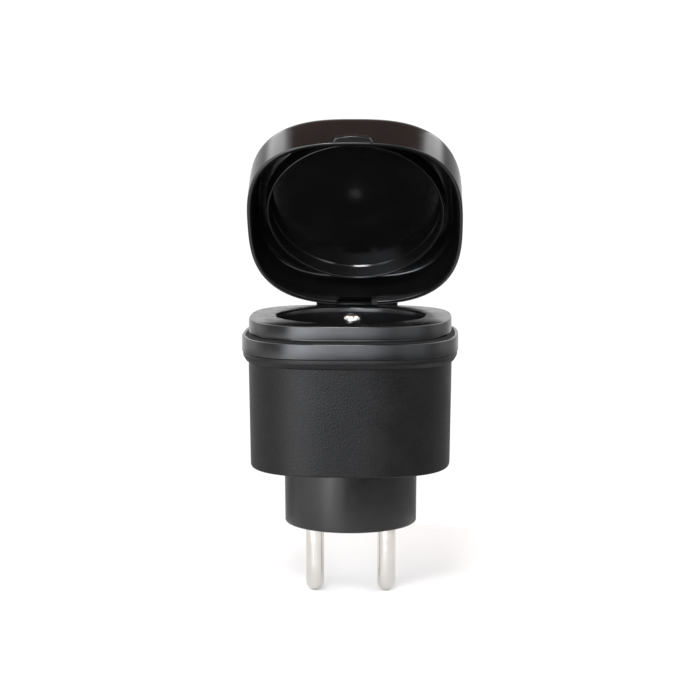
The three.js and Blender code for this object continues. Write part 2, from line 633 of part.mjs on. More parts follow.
// Bent light guide from the lamp on the board to the window in the rear wall.
const windowRear = REAR_FACE * (1 - (WINDOW_X / REAR_FACE) ** SQUARENESS) ** (1 / SQUARENESS);
add('light_guide', sideways([
  [19, PARTS_Z + 1.2], [21.4, PARTS_Z + 1.2], [21.4, BUTTON_Z - WINDOW_HALF],
  [windowRear, BUTTON_Z - WINDOW_HALF], [windowRear, BUTTON_Z + WINDOW_HALF],
  [20.4, BUTTON_Z + WINDOW_HALF], [19, BUTTON_Z - WINDOW_HALF],
], WINDOW_X - WINDOW_HALF, WINDOW_X + WINDOW_HALF), material.window);

// Rubber push button in the rear wall, its flange held behind the wall and its stem over the switch.
function pushButton() {
  const cap = crossRod(BUTTON_RADIUS, 23.2, REAR_FACE + 0.1, 0, BUTTON_Z, 28);
  const crown = crossRod(BUTTON_RADIUS - 0.4, 24, REAR_FACE + 0.4, 0, BUTTON_Z, 28);
  const flange = crossRod(BUTTON_RADIUS + 1.3, BUTTON_INSIDE, BUTTON_INSIDE + 0.7, 0, BUTTON_Z, 28);
  return join(cap, crown, flange, crossRod(1.3, SWITCH_FACE + 1.1, 23.5, 0, BUTTON_Z));
}

add('push_button', pushButton(), material.rubber);

export default plug;
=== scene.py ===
import math

import bmesh
import bpy
from mathutils import Matrix, Vector, noise


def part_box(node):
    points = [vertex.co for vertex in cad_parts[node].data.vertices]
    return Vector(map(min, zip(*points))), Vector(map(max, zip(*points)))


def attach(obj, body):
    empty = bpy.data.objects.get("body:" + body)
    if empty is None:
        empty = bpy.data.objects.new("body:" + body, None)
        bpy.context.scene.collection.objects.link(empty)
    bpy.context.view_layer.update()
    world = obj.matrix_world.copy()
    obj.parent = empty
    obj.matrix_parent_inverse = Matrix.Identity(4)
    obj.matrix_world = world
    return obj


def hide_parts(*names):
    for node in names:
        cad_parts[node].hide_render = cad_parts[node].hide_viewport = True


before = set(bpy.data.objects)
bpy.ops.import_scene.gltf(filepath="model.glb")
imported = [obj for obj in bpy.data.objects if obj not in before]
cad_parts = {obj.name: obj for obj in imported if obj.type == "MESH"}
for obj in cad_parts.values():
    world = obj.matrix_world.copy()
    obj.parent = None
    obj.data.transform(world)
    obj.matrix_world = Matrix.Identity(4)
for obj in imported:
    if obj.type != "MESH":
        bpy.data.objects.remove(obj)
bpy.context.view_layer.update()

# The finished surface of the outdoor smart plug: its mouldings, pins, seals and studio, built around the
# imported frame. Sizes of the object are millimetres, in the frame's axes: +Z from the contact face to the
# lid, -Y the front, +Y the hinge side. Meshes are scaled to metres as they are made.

MM = 0.001


def size_of(node):
    """Lowest and highest corner of a frame node, in millimetres."""
    low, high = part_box(node)
    return low / MM, high / MM


# ---- sizes read from the frame ----

HOUSING_LOW, HOUSING_HIGH = size_of("housing")
PIN_LOW, PIN_HIGH = size_of("pin_right")
EARTH_LOW, EARTH_HIGH = size_of("earth_pin")
INSERT_LOW, INSERT_HIGH = size_of("socket_insert")
BUTTON_LOW, BUTTON_HIGH = size_of("push_button")
HINGE_PIN_LOW, HINGE_PIN_HIGH = size_of("hinge_pin")

NECK_HEIGHT = HOUSING_LOW.z
FLANGE_HALF = HOUSING_HIGH.x
FLANGE_TOP = HOUSING_HIGH.z
COLLAR_HALF = size_of("socket_cover")[1].x
WELL_FLOOR = INSERT_HIGH.z
INSERT_BASE = INSERT_LOW.z
EARTH_TIP = EARTH_HIGH.z
EARTH_Y = (EARTH_LOW.y + EARTH_HIGH.y) / 2
PIN_TIP = PIN_LOW.z
PIN_X = (PIN_LOW.x + PIN_HIGH.x) / 2
HINGE_Y = (HINGE_PIN_LOW.y + HINGE_PIN_HIGH.y) / 2
HINGE_Z = (HINGE_PIN_LOW.z + HINGE_PIN_HIGH.z) / 2
HINGE_PIN_RADIUS = (HINGE_PIN_HIGH.z - HINGE_PIN_LOW.z) / 2
BUTTON_Z = (BUTTON_LOW.z + BUTTON_HIGH.z) / 2

# ---- sizes shared with the mouldings inside the frame ----

GAP = 0.3
WALL = 2.0
SQUARE = 2.95                 # superellipse exponent of the housing and the cover
LID_SQUARE = 2.78             # and of the lid
ROUND = 2.0
PIN_RADIUS = 2.4
TAIL_RADIUS = 1.5
HOLE_RADIUS = 2.95
NECK_RADIUS = 17.34
NECK_INSIDE = 14.8
FACE_THICK = 4.5
EARTH_HOLE = 3.4

BODY_LOW = 26.1
BODY_HIGH = 26.5
BODY_TOP = 43.9
COLLAR_BASE = 46.75
COLLAR_TOP = 50.4
RIM_HALF = 26.4
RIM_TOP = 54.7
WELL_RADIUS = 19.4
SLEEVE_OUT = 20.9
SEAL_BASE = 49.7
SEAL_OUT = 27.2
SEAL_TOP = 50.6
SEAM_CLOSE = 0.43             # the cover settles this far onto the housing
UNDERCUT = 0.9                # groove at the foot of the rim that the seal's inner edge tucks into
LIP_DEPTH = 1.3               # lip of the cover that hides the top of the well's sleeve
GASKET_IN = 25.0
GASKET_OUT = 26.0
GASKET_BASE = 45.5
SPIGOT_HALF = 24.15
SPIGOT_BASE = 42.0
BOARD_Z = 20.5
FLOOR_TOP = NECK_HEIGHT + 2.2

POST = 16.7
POSTS = ((POST, POST), (-POST, POST), (-POST, -POST), (POST, -POST))
POST_RADIUS = 3.0
SCREW_RADIUS = 1.4
SCREW_TIP = 31.0
HEAD_RADIUS = 2.6
HEAD_TOP = NECK_HEIGHT + 1.9
HEAD_THICK = 1.5

BUTTON_RADIUS = 4.2
WINDOW_X = 9.0
WINDOW_HALF = 1.2
BUTTON_FLANGE = (22.9, 23.6)  # front and rear of the flange behind the wall, along +Y

LID_HALF = 28.72
LID_SHIFT = 0.75
LID_WALL = 1.2
LID_MOUTH = COLLAR_TOP + GAP
LID_DEPTH = 12.4
LID_INSIDE = 9.7
LID_ANGLE = math.radians(52.3)
RING_RADIUS = 23.56
RING_THICK = 1.1
RING_SET_BACK = 5.24
RING_FOOT = 0.9
TAB_HALF = 5.1
TAB_REACH = 1.8
TAB_THICK = 1.5
TAB_SLOPE = 0.5
NOTCH_DEPTH = 2.0

KNUCKLE_RADIUS = 2.9
KNUCKLE_HALF = 4.7
ARM_START = 5.75
HINGE_HALF = 11.2
HOOD_BASE = HINGE_Z + KNUCKLE_RADIUS + 0.4
HOOD_TOP = HOOD_BASE + 1.8

SIDES = 176                   # sides of the large outlines
SMALL_SIDES = 48              # sides of pins, holes and screws

LID_POSE = (
    Matrix.Translation((0, HINGE_Y * MM, HINGE_Z * MM))
    @ Matrix.Rotation(-LID_ANGLE, 4, "X")
    @ Matrix.Translation((LID_SHIFT * MM, -HINGE_Y * MM, -HINGE_Z * MM))
)


# ---- mesh tools ----

def mesh_piece(name, vertices, faces):
    """An object from vertices in millimetres."""
    mesh = bpy.data.meshes.new(name)
    mesh.from_pydata([Vector(v) * MM for v in vertices], [], faces)
    mesh.update()
    piece = bpy.data.objects.new(name, mesh)
    bpy.context.collection.objects.link(piece)
    return piece


def super_radius(angle, n):
    """Unit radius of a superellipse |x|^n + |y|^n = 1 in the direction of an angle."""
    return (abs(math.cos(angle)) ** n + abs(math.sin(angle)) ** n) ** (-1 / n)


def rounded(profile, steps=4):
    """[(reach, z, exponent)] from [(reach, z, exponent, fillet)], with each fillet drawn as a curve."""
    points = []
    count = len(profile)
    for i, (reach, z, n, fillet) in enumerate(profile):
        here = Vector((reach, z))
        if fillet == 0:
            points.append((reach, z, n))
            continue
        before = Vector(profile[i - 1][:2]) - here
        after = Vector(profile[(i + 1) % count][:2]) - here
        half = max(before.angle(after) / 2, 0.05)
        trim = min(fillet / math.tan(half), 0.48 * before.length, 0.48 * after.length)
        start = here + before.normalized() * trim
        end = here + after.normalized() * trim
        for k in range(steps + 1):
            t = k / steps
            p = start * (1 - t) ** 2 + here * 2 * t * (1 - t) + end * t * t
            points.append((p.x, p.y, n))
    return points


def quarter(start, end, n, squareness=2.0, steps=8):
    """Curve of (reach, z, exponent) that leaves start upright and arrives at end level."""
    points = []
    for k in range(steps + 1):
        t = k / steps * math.pi / 2
        across = 1 - math.cos(t) ** (2 / squareness)
        along = math.sin(t) ** (2 / squareness)
        reach = start[0] + (end[0] - start[0]) * across
        points.append((reach, start[1] + (end[1] - start[1]) * along, n))
    return points


def turned(name, profile, sides=SIDES, x=0.0, y=0.0):
    """Solid of [(reach, z, exponent)] about +Z, which starts and ends on the axis or closes on itself."""
    vertices = []
    rings = []
    for reach, z, n in profile:
        count = 1 if reach == 0 else sides
        rings.append((len(vertices), count))
        for i in range(count):
            angle = 2 * math.pi * i / sides
            r = reach * super_radius(angle, n)
            vertices.append((x + r * math.cos(angle), y + r * math.sin(angle), z))
    spans = len(rings) - 1 if profile[0][0] == 0 else len(rings)
    faces = []
    for k in range(spans):
        low, low_count = rings[k]
        high, high_count = rings[(k + 1) % len(rings)]
        for i in range(sides):
            corners = [
                low + i % low_count, low + (i + 1) % low_count,
                high + (i + 1) % high_count, high + i % high_count,
            ]
            face = list(dict.fromkeys(corners))
            if len(face) > 2:
                faces.append(face)
    return mesh_piece(name, vertices, faces)


def slab(name, near, far):
    """Solid between two outlines of the same number of points."""
    count = len(near)
    faces = [list(range(count))[::-1], [count + i for i in range(count)]]
    for i in range(count):
        j = (i + 1) % count
        faces.append([i, j, count + j, count + i])
    return mesh_piece(name, [*near, *far], faces)


def prism(name, outline, x0, x1):
    """Solid of an outline of (y, z) points, drawn anticlockwise seen from +X, between x0 and x1."""
    near, far = ([(x, y, z) for y, z in outline] for x in (x0, x1))
    return slab(name, near, far)


def box(name, x0, x1, y0, y1, z0, z1):
    return prism(name, [(y0, z0), (y1, z0), (y1, z1), (y0, z1)], x0, x1)


def turn_to(piece, axis, place):
    """Lays a solid of revolution about +Z along another axis, at a place in millimetres."""
    turn = Matrix.Rotation(math.pi / 2, 4, "Y") if axis == "X" else Matrix.Rotation(-math.pi / 2, 4, "X")
    piece.data.transform(Matrix.Translation(Vector(place) * MM) @ turn)
    return piece


def circular(profile):
    """[(reach, z, exponent)] of a round solid from [(reach, z)]."""
    return [(reach, z, ROUND) for reach, z in profile]


def rod(name, radius, z0, z1, x=0.0, y=0.0, sides=SMALL_SIDES):
    return turned(name, circular([(0, z0), (radius, z0), (radius, z1), (0, z1)]), sides, x, y)


def hinge_bore():
    bore = rod("bore", HINGE_PIN_RADIUS + 0.2, -HINGE_HALF - 1, HINGE_HALF + 1)
    return turn_to(bore, "X", (0, HINGE_Y, HINGE_Z))


def barrel_points(start, end, steps=18):
    """(y, z) points on the hinge's barrel between two angles in degrees."""
    points = []
    for k in range(steps + 1):
        angle = math.radians(start + (end - start) * k / steps)
        y, z = KNUCKLE_RADIUS * math.cos(angle), KNUCKLE_RADIUS * math.sin(angle)
        points.append((HINGE_Y + y, HINGE_Z + z))
    return points


def apply_modifiers(piece):
    """Bakes a piece's modifiers into its mesh."""
    graph = bpy.context.evaluated_depsgraph_get()
    mesh = bpy.data.meshes.new_from_object(piece.evaluated_get(graph))
    piece.modifiers.clear()
    piece.data = mesh
    mesh.name = piece.name
    return piece


def combine(piece, operation, tools):
    """Joins tools to a piece, or cuts them from it, and deletes them."""
    for tool in tools:
        modifier = piece.modifiers.new(operation, "BOOLEAN")
        modifier.operation = operation
        modifier.solver = "EXACT"
        modifier.object = tool
    apply_modifiers(piece)
    for tool in tools:
        bpy.data.objects.remove(tool)


def join(piece, *tools):
    combine(piece, "UNION", tools)


def cut(piece, *tools):
    combine(piece, "DIFFERENCE", tools)


def soften(piece, width, angle=50.0, segments=3):
    """Rounds the edges that are sharper than an angle."""
    modifier = piece.modifiers.new("edges", "BEVEL")
    modifier.width = width * MM
    modifier.segments = segments
    modifier.limit_method = "ANGLE"
    modifier.angle_limit = math.radians(angle)
    return apply_modifiers(piece)


def wavy(piece, heights, depth, wavelength=5.0, reach=0.9):
    """Uneven moulded edges: outer points near the given heights move by a smooth wander along z."""
    for vertex in piece.data.vertices:
        x, y, z = vertex.co / MM
        near = max(0.0, 1 - min(abs(z - h) for h in heights) / reach)
        around = math.hypot(x, y)
        if near == 0 or around < BODY_LOW - 1:
            continue
        wander = noise.noise(Vector((x, y, z * 0.2)) / wavelength)
        ripple = noise.noise(Vector((x, y, 7.0)) / (wavelength * 0.22))
        vertex.co.z += near * depth * (wander + 0.35 * ripple) * MM


def smooth(piece, angle=32.0):
    """Cleans the mesh and shades it smooth, with sharp edges above an angle."""
    mesh = piece.data
    work = bmesh.new()
    work.from_mesh(mesh)
    bmesh.ops.remove_doubles(work, verts=work.verts, dist=0.001 * MM)
    bmesh.ops.dissolve_degenerate(work, edges=work.edges, dist=0.0005 * MM)
    bmesh.ops.recalc_face_normals(work, faces=work.faces)
    work.to_mesh(mesh)
    work.free()
    mesh.polygons.foreach_set("use_smooth", [True] * len(mesh.polygons))
    mesh.set_sharp_from_angle(angle=math.radians(angle))


# ---- materials ----

class Nodes:
    """Builds a node tree."""

    def add(self, kind, **settings):
        node = self.tree.nodes.new(kind)
        for key, value in settings.items():
            setattr(node, key, value)
        return node

    def link(self, source, target):
        self.tree.links.new(source, target)

    def maths(self, operation, first, second=None):
        """A maths node on sockets or numbers."""
        node = self.add("ShaderNodeMath", operation=operation)
        for place, value in zip(node.inputs, (first, second)):
            if isinstance(value, (int, float)):
                place.default_value = value
            elif value is not None:
                self.link(value, place)
        return node.outputs["Value"]

    def mix(self, share, first, second, blend="MIX"):
        """Two colours blended, each a socket or three numbers."""
        node = self.add("ShaderNodeMix", data_type="RGBA", blend_type=blend)
        for place, value in zip((0, 6, 7), (share, first, second)):
            if isinstance(value, (int, float)):
                node.inputs[place].default_value = value
            elif isinstance(value, (list, tuple)):
                node.inputs[place].default_value = (*value, 1)
            else:
                self.link(value, node.inputs[place])
        return node.outputs[2]

    def span(self, value, low, high, start=0.3, end=0.7):
        """Maps a value between start and end to a range."""
        node = self.add("ShaderNodeMapRange")
        node.inputs["From Min"].default_value = start
        node.inputs["From Max"].default_value = end
        node.inputs["To Min"].default_value = low
        node.inputs["To Max"].default_value = high
        self.link(value, node.inputs["Value"])
        return node.outputs["Result"]

    def colours(self, value, stops, joined="LINEAR"):
        """Colour ramp of (position, (r, g, b)) stops."""
        node = self.add("ShaderNodeValToRGB")
        ramp = node.color_ramp
        ramp.interpolation = joined
        while len(ramp.elements) < len(stops):
            ramp.elements.new(0.5)
        for element, (position, colour) in zip(ramp.elements, stops):
            element.position = position
            element.color = (*colour, 1)
        self.link(value, node.inputs["Fac"])
        return node.outputs["Color"]


class Paint(Nodes):
    """A node material around one Principled shader, with object-space coordinates at real scale."""

    def __init__(self, name, roughness=0.4, metallic=0.0, ior=1.46):
        self.material = bpy.data.materials.new(name)
        self.material.use_nodes = True
        self.tree = self.material.node_tree
        self.shader = self.tree.nodes["Principled BSDF"]
        self.shader.inputs["Metallic"].default_value = metallic
        self.shader.inputs["IOR"].default_value = ior
        self.shader.inputs["Roughness"].default_value = roughness
        self.place = self.add("ShaderNodeTexCoord").outputs["Object"]
        self.normal = None

    def noise(self, size, detail=2.0, rough=0.5, stretch=(1, 1, 1)):
        """Noise with features of a size in millimetres, stretched along each axis."""
        mapping = self.add("ShaderNodeMapping")
        mapping.inputs["Scale"].default_value = [1 / (size * MM * s) for s in stretch]
        self.link(self.place, mapping.inputs["Vector"])
        texture = self.add("ShaderNodeTexNoise")
        texture.inputs["Scale"].default_value = 1.0
        texture.inputs["Detail"].default_value = detail
        texture.inputs["Roughness"].default_value = rough
        self.link(mapping.outputs["Vector"], texture.inputs["Vector"])
        return texture.outputs["Fac"]

    def bump(self, height, depth):
        """Adds a relief whose full height is depth millimetres."""
        node = self.add("ShaderNodeBump")
        node.inputs["Distance"].default_value = depth * MM
        node.inputs["Strength"].default_value = 1.0
        self.link(height, node.inputs["Height"])
        if self.normal is not None:
            self.link(self.normal, node.inputs["Normal"])
        self.normal = node.outputs["Normal"]
        self.link(self.normal, self.shader.inputs["Normal"])

    def set(self, socket, value):
        self.link(value, self.shader.inputs[socket])

    def edges(self):
        """1 on convex edges, broken up by noise: the mask for a lighter edge colour that is partly wear
        and partly a painted highlight.
        """
        pointed = self.add("ShaderNodeNewGeometry").outputs["Pointiness"]
        edge_wear_glint = self.span(pointed, 0.0, 1.0, 0.52, 0.62)
        broken = self.span(self.noise(1.6, 4), 0.25, 1.0, 0.4, 0.6)
        return self.maths("MULTIPLY", edge_wear_glint, broken)


def shade(colour, factor):
    return tuple(min(1.0, c * factor) for c in colour)


def moulded(name, colour, roughness, spread, grain, depth, ripple=0.0, edge_wear_glint=1.7, ior=1.46):
    """Injection moulded plastic: eroded grain, slow gloss changes, flow marks, and convex edges painted
    lighter, partly as wear and partly as a painted highlight.
    """
    paint = Paint(name, ior=ior)
    cloud = paint.noise(9.0, 3)
    fleck = paint.noise(grain * 1.7, 3, 0.6)
    tone = paint.maths("ADD", paint.span(cloud, -0.2, 0.2), fleck)
    base = paint.colours(tone, [(0.2, shade(colour, 0.72)), (0.5, colour), (0.8, shade(colour, 1.35))])
    # Convex edges get a lighter colour: partly edge wear, partly a painted highlight that stands in for
    # glints along the edges.
    wear_glint_mask = paint.edges()
    light = paint.colours(fleck, [(0.3, shade(colour, edge_wear_glint)), (0.7, shade(colour, edge_wear_glint * 1.3))])
    paint.set("Base Color", paint.mix(wear_glint_mask, base, light))
    slow = paint.span(paint.noise(6.0, 3), roughness - spread, roughness + spread)
    scuffs = paint.span(paint.noise(0.7, 5, 0.7, (4, 4, 0.6)), -0.03, 0.06, 0.45, 0.75)
    paint.set("Roughness", paint.maths("ADD", slow, scuffs))
    paint.bump(paint.noise(grain, 2, 0.55), depth)
    if ripple:
        paint.bump(paint.noise(7.0, 1), ripple)
    return paint.material


def rubber(name, colour):
    paint = Paint(name, ior=1.35)
    bloom = paint.noise(2.5, 4)
    paint.set("Base Color", paint.colours(bloom, [(0.3, shade(colour, 0.7)), (0.75, shade(colour, 1.8))]))
    paint.set("Roughness", paint.span(paint.noise(1.4, 3), 0.62, 0.82))
    paint.bump(paint.noise(0.12, 3), 0.02)
    return paint.material


def metal(name, colour, roughness, stretch, tarnish):
    """Plated or rolled metal with tool lines along one direction and patches of thin tarnish."""
    paint = Paint(name, metallic=1.0)
    patches = paint.noise(3.2, 4, 0.6)
    paint.set("Base Color", paint.colours(patches, [(0.35, shade(colour, tarnish)), (0.65, colour)]))
    lines = paint.noise(0.35, 3, 0.6, stretch)
    slow = paint.span(patches, -0.03, 0.05)
    rough = paint.span(lines, roughness - 0.05, roughness + 0.08)
    paint.set("Roughness", paint.maths("ADD", rough, slow))
    paint.bump(lines, 0.0035)
    return paint.material


def plain(name, colour, roughness, size=1.2, depth=0.01, spread=0.3):
    """Inner parts: mottled colour, uneven gloss and a fine relief."""
    paint = Paint(name)
    mottle = paint.noise(size, 4, 0.6)
    stops = [(0.3, shade(colour, 1 - spread)), (0.7, shade(colour, 1 + spread * 0.4))]
    paint.set("Base Color", paint.colours(mottle, stops))
    paint.set("Roughness", paint.span(paint.noise(size * 2, 3), roughness - 0.08, roughness + 0.1))
    paint.bump(paint.noise(size * 0.2, 3), depth)
    return paint.material


def circuit_board(name):
    """Green solder mask with copper tracks showing through it and tinned pads."""
    paint = Paint(name)
    cells = paint.add("ShaderNodeTexVoronoi", feature="DISTANCE_TO_EDGE", distance="CHEBYCHEV")
    cells.inputs["Scale"].default_value = 1 / (3.1 * MM)
    cells.inputs["Randomness"].default_value = 0.65
    paint.link(paint.place, cells.inputs["Vector"])
    track = paint.span(cells.outputs["Distance"], 1.0, 0.0, 0.05, 0.08)
    greens = [(0.3, (0.008, 0.052, 0.022)), (0.7, (0.014, 0.085, 0.035))]
    mask = paint.colours(paint.noise(2.0, 3), greens)
    copper = paint.colours(paint.noise(0.8, 3), [(0.3, (0.03, 0.15, 0.05)), (0.7, (0.05, 0.2, 0.07))])
    paint.set("Base Color", paint.mix(track, mask, copper))
    paint.set("Roughness", paint.span(paint.noise(1.0, 3), 0.3, 0.46))
    paint.bump(track, 0.035)
    return paint.material


def window_plastic(name):
    """Clear acrylic with faint flow lines, frosted on its faces."""
    paint = Paint(name, ior=1.49)
    paint.shader.inputs["Transmission Weight"].default_value = 0.75
    haze = paint.noise(0.8, 3)
    paint.set("Base Color", paint.colours(haze, [(0.3, (0.78, 0.84, 0.88)), (0.7, (0.9, 0.95, 0.98))]))
    paint.set("Roughness", paint.span(haze, 0.08, 0.3))
    paint.bump(paint.noise(0.5, 2), 0.01)
    return paint.material


LOOK = {
    "housing_black": moulded("housing_black", (0.0032, 0.0031, 0.0030), 0.37, 0.05, 0.42, 0.10, ior=1.29),
    "satin_black": moulded("satin_black", (0.0036, 0.0037, 0.0040), 0.21, 0.035, 0.16, 0.0022, 0.02),
    "lid_black": moulded("lid_black", (0.0029, 0.0028, 0.0028), 0.17, 0.03, 0.12, 0.0006, 0.016, 1.6),
    "seal_rubber": rubber("seal_rubber", (0.005, 0.005, 0.0053)),
    "nickel": metal("nickel", (0.64, 0.62, 0.585), 0.15, (6, 6, 0.5), 0.93),
    "steel": metal("steel", (0.52, 0.52, 0.54), 0.3, (0.6, 5, 5), 0.7),
    "brass": metal("brass", (0.72, 0.52, 0.2), 0.3, (4, 4, 0.6), 0.72),
    "shield_tin": metal("shield_tin", (0.66, 0.67, 0.68), 0.28, (0.5, 6, 6), 0.8),
    "board_green": circuit_board("board_green"),
    "insulator_black": plain("insulator_black", (0.016, 0.016, 0.017), 0.52),
    "relay_blue": plain("relay_blue", (0.02, 0.062, 0.26), 0.42, 2.0, 0.006),
    "ceramic": plain("ceramic", (0.68, 0.64, 0.55), 0.48, 0.8, 0.02, spread=0.12),
    "capacitor_sleeve": plain("capacitor_sleeve", (0.018, 0.018, 0.024), 0.34, 2.4, 0.004),
    "varistor_blue": plain("varistor_blue", (0.025, 0.12, 0.36), 0.36, 1.6, 0.03),
    "ferrite": plain("ferrite", (0.043, 0.04, 0.04), 0.66, 0.5, 0.03),
    "shutter_grey": plain("shutter_grey", (0.017, 0.0175, 0.019), 0.5, 1.5, 0.008),
    "lamp_white": plain("lamp_white", (0.76, 0.74, 0.68), 0.5, 0.6, 0.004, spread=0.1),
    "window_clear": window_plastic("window_clear"),
}


def present(piece, slot, body, node, angle=32.0):
    """Shading, finish, body and the frame node that a piece stands for."""
    smooth(piece, angle)
    piece.data.materials.clear()
    piece.data.materials.append(LOOK[slot])
    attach(piece, body)
    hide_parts(node)


def at_posts(name, radius, z0, z1):
    return [rod(name, radius, z0, z1, x, y) for x, y in POSTS]


# ---- housing ----

def housing():
    n = SQUARE
    in_high = BODY_HIGH - WALL
    in_low = BODY_LOW - WALL
    neck_hole = NECK_RADIUS + 0.15 + GAP
    shell = turned("housing_shell", rounded([
        (neck_hole, NECK_HEIGHT, ROUND, 0.15), (BODY_LOW, NECK_HEIGHT, n, 0.45),
        (BODY_HIGH, BODY_TOP, n, 0.35), (FLANGE_HALF - 0.75, BODY_TOP + 0.05, n, 0.4),
        (FLANGE_HALF, BODY_TOP + 1.3, n, 0.9), (FLANGE_HALF, FLANGE_TOP, n, 0.22),
        (GASKET_OUT + 0.2, FLANGE_TOP, n, 0.12), (GASKET_OUT + 0.2, GASKET_BASE - GAP, n, 0),
        (GASKET_IN - 0.2, GASKET_BASE - GAP, n, 0), (GASKET_IN - 0.2, FLANGE_TOP, n, 0.1),
        (in_high, FLANGE_TOP, n, 0.1), (in_high, BODY_TOP, n, 0), (in_low, FLOOR_TOP, n, 0.8),
        (neck_hole, FLOOR_TOP, ROUND, 0),
    ]))
    wavy(shell, (FLANGE_TOP - 0.3, BODY_TOP), 0.06)
    bosses = at_posts("boss", POST_RADIUS + 0.2, NECK_HEIGHT + 1, BOARD_Z + 0.1)
    heads = at_posts("head_hole", HEAD_RADIUS + GAP, NECK_HEIGHT - 1, HEAD_TOP + 0.2)
    shanks = at_posts("shank_hole", SCREW_RADIUS + GAP, NECK_HEIGHT, BOARD_Z + 1)
    inside, outside = in_low - 3, BODY_HIGH + 1
    button = rod("button_hole", BUTTON_RADIUS + GAP, inside, outside)
    turn_to(button, "Y", (0, 0, BUTTON_Z))
    opening = WINDOW_HALF + GAP
    window = box(
        "window_hole", WINDOW_X - opening, WINDOW_X + opening, inside, outside,
        BUTTON_Z - opening, BUTTON_Z + opening,
    )
    join(shell, *bosses)
    cut(shell, *heads, *shanks, button, window)
    soften(shell, 0.14, segments=2)
    present(shell, "housing_black", "case", "housing")


def case_screws():
    """Pan heads with a cross recess and turned ridges for a thread, driven up from the shoulder."""
    base = HEAD_TOP - HEAD_THICK
    pitch = 1.2
    root = SCREW_RADIUS - 0.32
    profile = [
        (0, base), (HEAD_RADIUS - 1.1, base + 0.02), (HEAD_RADIUS - 0.5, base + 0.16),
        (HEAD_RADIUS - 0.12, base + 0.5), (HEAD_RADIUS, base + 0.95), (HEAD_RADIUS, HEAD_TOP - 0.1),
        (HEAD_RADIUS - 0.1, HEAD_TOP), (SCREW_RADIUS, HEAD_TOP),
    ]
    for k in range(round((SCREW_TIP - HEAD_TOP - 2.6) / pitch)):
        z = HEAD_TOP + 1.0 + k * pitch
        profile += [(root, z), (root, z + pitch * 0.45)]
        profile += [(SCREW_RADIUS, z + pitch * 0.62), (SCREW_RADIUS, z + pitch * 0.72)]
    profile += [(root, SCREW_TIP - 1.4), (0, SCREW_TIP)]
    length, width, depth = 1.5, 0.3, 0.8
    for number, (x, y) in enumerate(POSTS, 1):
        screw = turned(f"case_screw_{number}_fine", circular(profile), SMALL_SIDES, x, y)
        slots = [
            box("slot", x - along, x + along, y - across, y + across, base - 1, base + depth)
            for along, across in ((length, width), (width, length))
        ]
        cut(screw, *slots)
        present(screw, "steel", "case", f"case_screw_{number}")


# ---- plug neck and pins ----

def plug_neck():
    r = NECK_RADIUS
    flange_base = FLOOR_TOP + GAP
    shell = turned("plug_neck_fine", rounded([
        (0, 0, ROUND, 0), (r, 0, ROUND, 0.5), (r + 0.15, flange_base, ROUND, 0),
        (r + 2, flange_base, ROUND, 0.2), (r + 2, BOARD_Z - GAP, ROUND, 0.2),
        (NECK_INSIDE, BOARD_Z - GAP, ROUND, 0.2), (NECK_INSIDE, FACE_THICK, ROUND, 0.6),
        (0, FACE_THICK, ROUND, 0),
    ], 6))
    holes = [rod("pin_hole", PIN_RADIUS + GAP, -1, FACE_THICK + 1, x) for x in (-PIN_X, PIN_X)]
    earth = rod("earth_hole", EARTH_HOLE, -1, FACE_THICK + 1, 0, EARTH_Y)
    cut(shell, *holes, earth)
    soften(shell, 0.2)
    present(shell, "satin_black", "case", "plug_neck")


def dome_points(radius, steps=10):
    """(reach, height above the shoulder) of a domed end, from its tip to its shoulder."""
    angles = [k / steps * math.pi / 2 for k in range(steps + 1)]
    return [(radius * math.sin(t), radius * math.cos(t)) for t in angles]


def mains_pins():
    """Domed tip, straight shank, collar behind the face, and solder tail."""
    r = PIN_RADIUS
    tail = PIN_HIGH.z
    collar = FACE_THICK + GAP
    profile = [(reach, PIN_TIP + r - rise) for reach, rise in dome_points(r)]
    profile += [(r, collar), (r + 1, collar), (r + 1, collar + 1.2), (TAIL_RADIUS, collar + 1.2)]
    profile += [(TAIL_RADIUS, tail), (0, tail)]
    for side, x in (("left", -PIN_X), ("right", PIN_X)):
        pin = turned(f"pin_{side}_fine", circular(profile), SMALL_SIDES, x)
        present(pin, "nickel", "case", f"pin_{side}", angle=50.0)


def earth_pin():
    """Tail, collar under the insert, and shank with a domed tip that stands up in the well."""
    r = PIN_RADIUS
    tail = EARTH_LOW.z
    collar = INSERT_BASE - GAP
    profile = [(0, tail), (TAIL_RADIUS, tail), (TAIL_RADIUS, INSERT_BASE - 2), (r + 1, INSERT_BASE - 2)]
    profile += [(r + 1, collar), (r, collar)]
    profile += [(reach, EARTH_TIP - r + rise) for reach, rise in dome_points(r)[::-1]]
    pin = turned("earth_pin_fine", circular(profile), SMALL_SIDES, 0, EARTH_Y)
    present(pin, "nickel", "case", "earth_pin", angle=50.0)


# ---- cover, well and socket face ----

